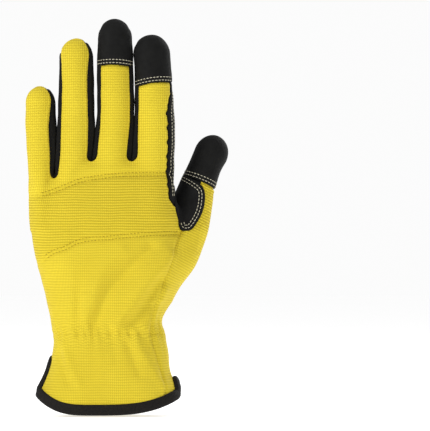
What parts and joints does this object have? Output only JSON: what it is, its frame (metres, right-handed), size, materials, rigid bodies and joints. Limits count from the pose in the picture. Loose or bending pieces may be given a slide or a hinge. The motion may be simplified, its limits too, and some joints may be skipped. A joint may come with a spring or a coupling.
{
  "type": "mechanic glove",
  "caption": "Left-hand work glove, filled out as worn: ribbed yellow stretch back, black synthetic-leather palm and fingertip caps, gathered wrist and bound slit cuff.",
  "frame": {"origin": "middle of the cuff's opening, level with the lowest point of its edge, where the hand goes in", "axes": "+Z from the cuff to the fingertips, +X to the thumb side, +Y to the palm, so the back of the hand faces -Y"},
  "size_m": [0.128, 0.0607, 0.2504],
  "materials": {
    "stretch_fabric": "matte ribbed stretch knit",
    "synthetic_leather": "matte suede-like synthetic leather",
    "gusset_fabric": "matte smooth stretch fabric",
    "binding_tape": "matte folded tape"
  },
  "bodies": {
    "root": {"back_panel": "stretch_fabric", "side_panel": "stretch_fabric", "cuff_front": "stretch_fabric", "palm_panel": "synthetic_leather", "palm_patch": "synthetic_leather", "heel_patch": "synthetic_leather", "thumb_front": "synthetic_leather", "thumb_cap": "synthetic_leather", "saddle_patch": "synthetic_leather", "middle_cap": "synthetic_leather", "index_cap": "synthetic_leather", "index_side_strip": "synthetic_leather", "gusset_little_ring": "gusset_fabric", "gusset_ring_middle": "gusset_fabric", "gusset_middle_index": "gusset_fabric", "cuff_binding": "binding_tape", "pull_tab": "synthetic_leather"}
  },
  "joints": []
}
